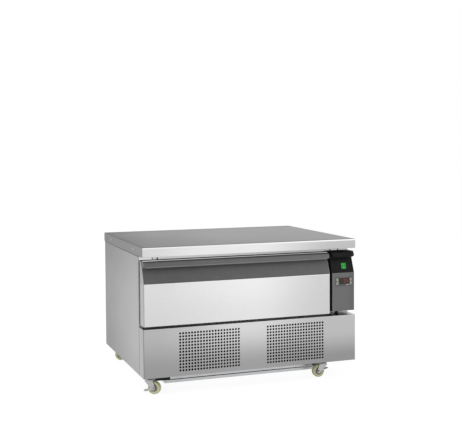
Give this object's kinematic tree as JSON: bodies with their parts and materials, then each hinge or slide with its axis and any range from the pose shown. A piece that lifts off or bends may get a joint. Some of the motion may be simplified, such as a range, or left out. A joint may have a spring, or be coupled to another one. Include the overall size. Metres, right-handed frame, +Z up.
{
  "type": "refrigerated drawer unit",
  "caption": "Low stainless steel refrigerated unit on casters: a wide insulated drawer beside a control column, over a machine bay with a perforated front.",
  "frame": {"origin": "on the floor under the middle of the worktop", "axes": "+X to the right seen from the front, +Y to the back, +Z up"},
  "size_m": [0.902, 0.7, 0.574],
  "materials": {
    "top_steel": "brushed stainless steel, grain along the width",
    "panel_steel": "brushed stainless steel, satin",
    "inner_steel": "plain stainless steel, satin",
    "base_steel": "galvanized steel sheet",
    "zinc": "bright zinc plate",
    "board": "raw board, hidden",
    "foam": "rigid insulation foam, cut skin",
    "black_plastic": "moulded black plastic, fine grain",
    "grey_plastic": "moulded dark grey plastic",
    "fascia": "matt grey plastic sheet",
    "gasket": "soft dark gasket",
    "window": "dark glossy window with lit digits",
    "key": "pale moulded keys",
    "rocker": "green glossy rocker",
    "wheel": "cream nylon, slightly glossy",
    "compressor_paint": "black enamel",
    "terminal_plastic": "dark moulded plastic",
    "fin_aluminium": "bare aluminium",
    "copper_tube": "bare copper, slightly dull",
    "fan_plastic": "light grey moulded plastic",
    "drain_plastic": "off-white plastic tube"
  },
  "bodies": {
    "cabinet": {"worktop_skin": "top_steel", "worktop_board": "board", "worktop_fixings": "zinc", "left_side_panel": "panel_steel", "right_side_panel": "panel_steel", "back_panel": "panel_steel", "face_frame": "panel_steel", "cabinet_floor": "inner_steel", "cabinet_foam": "foam", "inner_liner": "inner_steel", "base_plate": "base_steel", "cross_channel": "base_steel", "evaporation_tray": "base_steel", "front_grille_panel": "panel_steel", "cord_gland": "black_plastic", "compressor_shell": "compressor_paint", "compressor_feet": "compressor_paint", "compressor_terminal_box": "terminal_plastic", "condenser_coil": "fin_aluminium", "condenser_shroud": "black_plastic", "condenser_fan_motor": "terminal_plastic", "refrigerant_pipes": "copper_tube", "filter_drier": "copper_tube", "drain_pipe": "drain_plastic", "evaporator_coil": "fin_aluminium", "evaporator_cover": "fin_aluminium", "evaporator_fan_motor": "terminal_plastic", "outer_runners": "zinc", "control_housing": "black_plastic", "control_fascia": "fascia", "controller_case": "black_plastic", "controller_window": "window", "switch_frame": "black_plastic", "caster_plates": "zinc", "caster_bolts": "zinc"},
    "drawer": {"drawer_skin": "panel_steel", "drawer_pull": "grey_plastic", "drawer_foam": "foam", "drawer_inner_panel": "inner_steel", "drawer_gasket": "gasket", "drawer_frame": "inner_steel", "inner_runners": "zinc"},
    "middle_members": {"middle_runners": "zinc"},
    "condenser_fan": {"condenser_fan_blade": "fan_plastic"},
    "evaporator_fan": {"evaporator_fan_blade": "fan_plastic"},
    "rocker": {"switch_rocker": "rocker"},
    "key_left_upper_body": {"key_left_upper": "key"},
    "key_left_lower_body": {"key_left_lower": "key"},
    "key_right_upper_body": {"key_right_upper": "key"},
    "key_right_lower_body": {"key_right_lower": "key"},
    "fork_front_left_body": {"fork_front_left": "zinc"},
    "wheel_front_left_body": {"wheel_front_left": "wheel"},
    "fork_front_right_body": {"fork_front_right": "zinc"},
    "wheel_front_right_body": {"wheel_front_right": "wheel"},
    "fork_rear_left_body": {"fork_rear_left": "zinc"},
    "wheel_rear_left_body": {"wheel_rear_left": "wheel"},
    "fork_rear_right_body": {"fork_rear_right": "zinc"},
    "wheel_rear_right_body": {"wheel_rear_right": "wheel"},
    "pedal_left_body": {"brake_pedal_left": "zinc"},
    "pedal_right_body": {"brake_pedal_right": "zinc"}
  },
  "joints": [
    {"name": "drawer_slide", "type": "slide", "parent": "cabinet", "child": "drawer", "axis": [0, -1, 0], "range_m": [0, 0.52]},
    {"name": "middle_slide", "type": "slide", "parent": "cabinet", "child": "middle_members", "axis": [0, -1, 0], "range_m": [0, 0.26]},
    {"name": "condenser_fan_spin", "type": "hinge", "parent": "cabinet", "child": "condenser_fan", "pos_m": [0.18, -0.18, 0.161], "axis": [0, 1, 0], "continuous": true},
    {"name": "evaporator_fan_spin", "type": "hinge", "parent": "cabinet", "child": "evaporator_fan", "pos_m": [0.32, -0.08, 0.354], "axis": [1, 0, 0], "continuous": true},
    {"name": "switch_tip", "type": "hinge", "parent": "cabinet", "child": "rocker", "pos_m": [0.4015, -0.33232, 0.46138], "axis": [1, 0, 0], "range_deg": [-14, 0]},
    {"name": "press_left_upper", "type": "slide", "parent": "cabinet", "child": "key_left_upper_body", "axis": [0, 1, 0], "range_m": [0, 0.0008], "stiffness_N_per_m": 400, "springref_m": -0.001},
    {"name": "press_left_lower", "type": "slide", "parent": "cabinet", "child": "key_left_lower_body", "axis": [0, 1, 0], "range_m": [0, 0.0008], "stiffness_N_per_m": 400, "springref_m": -0.001},
    {"name": "press_right_upper", "type": "slide", "parent": "cabinet", "child": "key_right_upper_body", "axis": [0, 1, 0], "range_m": [0, 0.0008], "stiffness_N_per_m": 400, "springref_m": -0.001},
    {"name": "press_right_lower", "type": "slide", "parent": "cabinet", "child": "key_right_lower_body", "axis": [0, 1, 0], "range_m": [0, 0.0008], "stiffness_N_per_m": 400, "springref_m": -0.001},
    {"name": "swivel_front_left", "type": "hinge", "parent": "cabinet", "child": "fork_front_left_body", "pos_m": [-0.409, -0.288, 0.06], "axis": [0, 0, 1], "continuous": true},
    {"name": "roll_front_left", "type": "hinge", "parent": "fork_front_left_body", "child": "wheel_front_left_body", "pos_m": [-0.39368, -0.30086, 0.025], "axis": [0.6428, 0.766, 0], "continuous": true},
    {"name": "swivel_front_right", "type": "hinge", "parent": "cabinet", "child": "fork_front_right_body", "pos_m": [0.327, -0.288, 0.06], "axis": [0, 0, 1], "continuous": true},
    {"name": "roll_front_right", "type": "hinge", "parent": "fork_front_right_body", "child": "wheel_front_right_body", "pos_m": [0.307, -0.288, 0.025], "axis": [0, 1, 0], "continuous": true},
    {"name": "swivel_rear_left", "type": "hinge", "parent": "cabinet", "child": "fork_rear_left_body", "pos_m": [-0.409, 0.314, 0.06], "axis": [0, 0, 1], "continuous": true},
    {"name": "roll_rear_left", "type": "hinge", "parent": "fork_rear_left_body", "child": "wheel_rear_left_body", "pos_m": [-0.389, 0.314, 0.025], "axis": [0, 1, 0], "continuous": true},
    {"name": "swivel_rear_right", "type": "hinge", "parent": "cabinet", "child": "fork_rear_right_body", "pos_m": [0.327, 0.314, 0.06], "axis": [0, 0, 1], "continuous": true},
    {"name": "roll_rear_right", "type": "hinge", "parent": "fork_rear_right_body", "child": "wheel_rear_right_body", "pos_m": [0.307, 0.314, 0.025], "axis": [0, 1, 0], "continuous": true},
    {"name": "brake_left_tip", "type": "hinge", "parent": "fork_front_left_body", "child": "pedal_left_body", "pos_m": [-0.39368, -0.30086, 0.025], "axis": [0.6428, 0.766, 0], "range_deg": [0, 29]},
    {"name": "brake_right_tip", "type": "hinge", "parent": "fork_front_right_body", "child": "pedal_right_body", "pos_m": [0.307, -0.288, 0.025], "axis": [0, 1, 0], "range_deg": [0, 29]}
  ],
  "couplings": [
    {"joint": "middle_slide", "follows": "drawer_slide", "ratio": 0.5}
  ]
}
